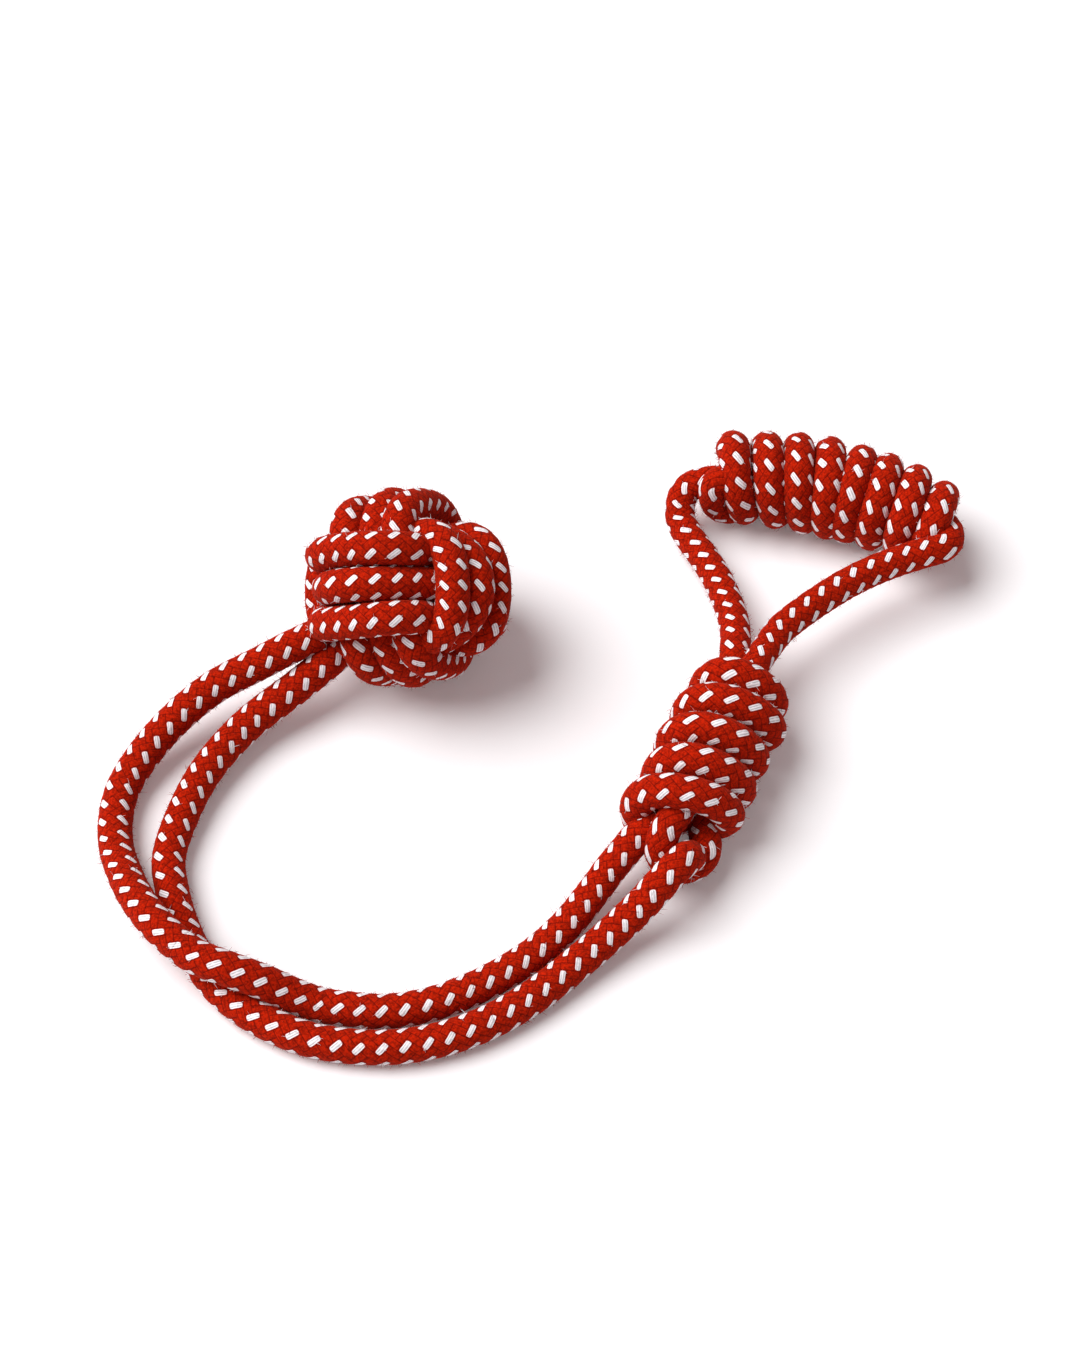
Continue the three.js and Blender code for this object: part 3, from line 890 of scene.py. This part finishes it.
class ROPETOY_OT_barrel(bpy.types.Operator):
    """Wind the barrel knot around the rope's runs inside it, with the bight at its low end"""

    bl_idname = "ropetoy.barrel"
    bl_label = "Barrel knot"

    def execute(self, context):
        turns, along, wide, high, rise = keyed(BARREL_WRAPS, 2401)
        angle = 2 * math.pi * (turns - 0.25)
        helix = np.stack([along, wide * np.cos(angle), rise + high * np.sin(angle)], axis=1)
        line = evenly(by_barrel(helix), step_length())
        winding = Run(line, TURN_RADIUS, pitch=BARREL_PITCH, seed=31)
        settle(skin("rope_barrel_winding", winding), "barrel_knot", "barrel_winding")
        core = Run(along_route(by_barrel(CORE_LEFT), step_length()), HIDDEN_RADIUS, seed=32)
        settle(skin("rope_barrel_core", core), "barrel_knot", "barrel_core_left")
        bight = Run(along_route(by_barrel(BIGHT), step_length()), BIGHT_RADIUS, seed=33)
        nodes = ("barrel_core_top", "barrel_bight", "barrel_core_right")
        settle(skin("rope_barrel_bight", bight), "barrel_knot", *nodes)
        return {"FINISHED"}


class ROPETOY_OT_legs(bpy.types.Operator):
    """Lay the handle's two legs between the barrel knot and the grip"""

    bl_idname = "ropetoy.legs"
    bl_label = "Handle legs"

    def execute(self, context):
        line = along_route(LEFT_LEG, step_length())
        run = Run(line, radii(line, LEFT_LEG_RADII), pitch=LEFT_LEG_PITCH, turned=0.06, seed=41)
        piece = skin("rope_left_leg", run)
        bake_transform(piece)
        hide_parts("left_leg_bend", "left_leg")
        line = along_route(RIGHT_LEG, step_length())
        run = Run(line, radii(line, RIGHT_LEG_RADII), turned=0.03, seed=42)
        piece = skin("rope_right_leg", run)
        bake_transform(piece)
        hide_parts("right_leg_bend", "right_leg", "right_leg_turn")
        return {"FINISHED"}


def by_grip(along, out, up):
    """Places by the grip's bowed axis: a distance along its arc, out from the arc's centre and up."""
    yaw = math.radians(GRIP_YAW)
    turned = np.asarray(along) / GRIP_BOW
    reach = GRIP_BOW + np.asarray(out)
    x, y = reach * np.sin(turned), reach * np.cos(turned) - GRIP_BOW
    cos, sin = math.cos(yaw), math.sin(yaw)
    return np.stack([x * cos - y * sin, x * sin + y * cos, up + 0 * x], axis=-1) + np.array(GRIP)


class ROPETOY_OT_grip(bpy.types.Operator):
    """Wind the grip around the run of rope inside it"""

    bl_idname = "ropetoy.grip"
    bl_label = "Grip"

    def execute(self, context):
        turns, along, ring = keyed(GRIP_WRAPS, 3601)
        angle = math.radians(GRIP_START) - 2 * math.pi * turns
        line = evenly(by_grip(along, ring * np.cos(angle), ring * np.sin(angle)), step_length())
        share, share_along = np.linspace(0, 1, len(line)), np.linspace(0, 1, len(along))
        turned = math.radians(GRIP_YAW) - np.interp(share, share_along, along) / GRIP_BOW
        axis = np.stack([np.cos(turned), np.sin(turned), 0 * turned], axis=1)
        run = Run(line, radii(line, GRIP_RADII), pitch=GRIP_PITCH, flat=(axis, GRIP_FLAT), seed=51)
        settle(skin("rope_grip_winding", run, FRAYED_FIBRES), "handle", "grip_winding")
        along = np.linspace(*GRIP_INSIDE, 200)
        line = evenly(by_grip(along, 0 * along, 0 * along), step_length())
        settle(skin("rope_grip_core", Run(line, HIDDEN_RADIUS, seed=52)), "handle", "grip_core")
        run = Run(along_route(LONE_TURN, step_length()), LONE_RADIUS, seed=53)
        settle(skin("rope_grip_lone_turn", run), "handle")
        return {"FINISHED"}


class ROPETOY_OT_stage(bpy.types.Operator):
    """Set the floor, the lamp and the camera"""

    bl_idname = "ropetoy.stage"
    bl_label = "Floor, lamp and camera"

    def execute(self, context):
        scene = context.scene
        s = settings()
        scene.view_settings.view_transform = "Standard"
        camera = bpy.data.objects.new("camera", bpy.data.cameras.new("camera"))
        scene.collection.objects.link(camera)
        camera.data.lens = LENS_MM
        camera.data.sensor_width = SENSOR_MM
        aim(camera, CAMERA_PLACE, CAMERA_TARGET)
        scene.camera = camera
        lamp = bpy.data.objects.new("lamp", bpy.data.lights.new("lamp", "SUN"))
        lamp.data.energy = s.lamp_strength
        lamp.data.angle = math.radians(LAMP_WIDTH)
        scene.collection.objects.link(lamp)
        aim(lamp, LAMP_PLACE, (0, 0, 0))
        scene.world = pale_room()
        mesh = bpy.data.meshes.new("floor")
        corners = [(x * FLOOR_HALF, y * FLOOR_HALF, 0) for x, y in ((-1, -1), (1, -1), (1, 1), (-1, 1))]
        mesh.from_pydata(corners, [], [(0, 1, 2, 3)])
        floor = bpy.data.objects.new("floor", mesh)
        scene.collection.objects.link(floor)
        mesh.materials.append(floor_paper(tuple(s.floor)))
        return {"FINISHED"}


def aim(thing, place, target):
    """Put a camera or lamp at a place, looking at a target."""
    thing.location = place
    thing.rotation_euler = (Vector(target) - Vector(place)).to_track_quat("-Z", "Y").to_euler()


def seen_directly(tree):
    """1 on rays from the camera, also by way of a mirror or glass, and 0 on the others."""
    ray = tree.nodes.new("ShaderNodeLightPath")
    mirrored = maths(tree, "MAXIMUM", ray.outputs["Is Glossy Ray"], ray.outputs["Is Transmission Ray"])
    return maths(tree, "MAXIMUM", ray.outputs["Is Camera Ray"], mirrored)


def pale_room():
    """A room that lights the toy a little, from all around, and looks white behind it."""
    world = bpy.data.worlds.new("pale_room")
    world.use_nodes = True
    tree = world.node_tree
    lit, seen = tree.nodes["Background"], tree.nodes.new("ShaderNodeBackground")
    lit.inputs["Color"].default_value = (*ROOM_COLOUR, 1)
    lit.inputs["Strength"].default_value = ROOM_STRENGTH
    seen.inputs["Color"].default_value = (1, 1, 1, 1)
    either = tree.nodes.new("ShaderNodeMixShader")
    for socket, value in zip(either.inputs, (seen_directly(tree), lit.outputs[0], seen.outputs[0])):
        tree.links.new(value, socket)
    tree.links.new(either.outputs[0], tree.nodes["World Output"].inputs["Surface"])
    return world


def floor_paper(colour):
    """White paper that the camera sees a little lighter than it is lit, so that it turns white around the
    shadows."""
    material = bpy.data.materials.new("floor_paper")
    material.use_nodes = True
    tree = material.node_tree
    shader = tree.nodes["Principled BSDF"]
    shader.inputs["Base Color"].default_value = (*colour, 1)
    shader.inputs["Roughness"].default_value = 0.9
    shader.inputs["Specular IOR Level"].default_value = 0.1
    glow = tree.nodes.new("ShaderNodeEmission")
    tree.links.new(maths(tree, "MULTIPLY", seen_directly(tree), FLOOR_GLOW), glow.inputs["Strength"])
    add = tree.nodes.new("ShaderNodeAddShader")
    tree.links.new(shader.outputs[0], add.inputs[0])
    tree.links.new(glow.outputs[0], add.inputs[1])
    tree.links.new(add.outputs[0], tree.nodes["Material Output"].inputs["Surface"])
    return material


OPERATORS = (
    ROPETOY_OT_stage,
    ROPETOY_OT_strands,
    ROPETOY_OT_ball,
    ROPETOY_OT_barrel,
    ROPETOY_OT_legs,
    ROPETOY_OT_grip,
)


class ROPETOY_PT_panel(bpy.types.Panel):
    """The toy's pieces, in the order that they are made"""

    bl_label = "Rope toy"
    bl_idname = "ROPETOY_PT_panel"
    bl_space_type = "VIEW_3D"
    bl_region_type = "UI"
    bl_category = "Rope toy"

    def draw(self, context):
        for name in RopeToySettings.__annotations__:
            self.layout.prop(context.scene.rope_toy, name)
        for operator in OPERATORS:
            self.layout.operator(operator.bl_idname)


def register():
    for item in (RopeToySettings, *OPERATORS, ROPETOY_PT_panel):
        bpy.utils.register_class(item)
    bpy.types.Scene.rope_toy = bpy.props.PointerProperty(type=RopeToySettings)


def unregister():
    del bpy.types.Scene.rope_toy
    for item in (ROPETOY_PT_panel, *reversed(OPERATORS), RopeToySettings):
        bpy.utils.unregister_class(item)


def main():
    register()
    for operator in OPERATORS:
        group, name = operator.bl_idname.split(".")
        getattr(getattr(bpy.ops, group), name)()


if __name__ == "__main__":
    main()
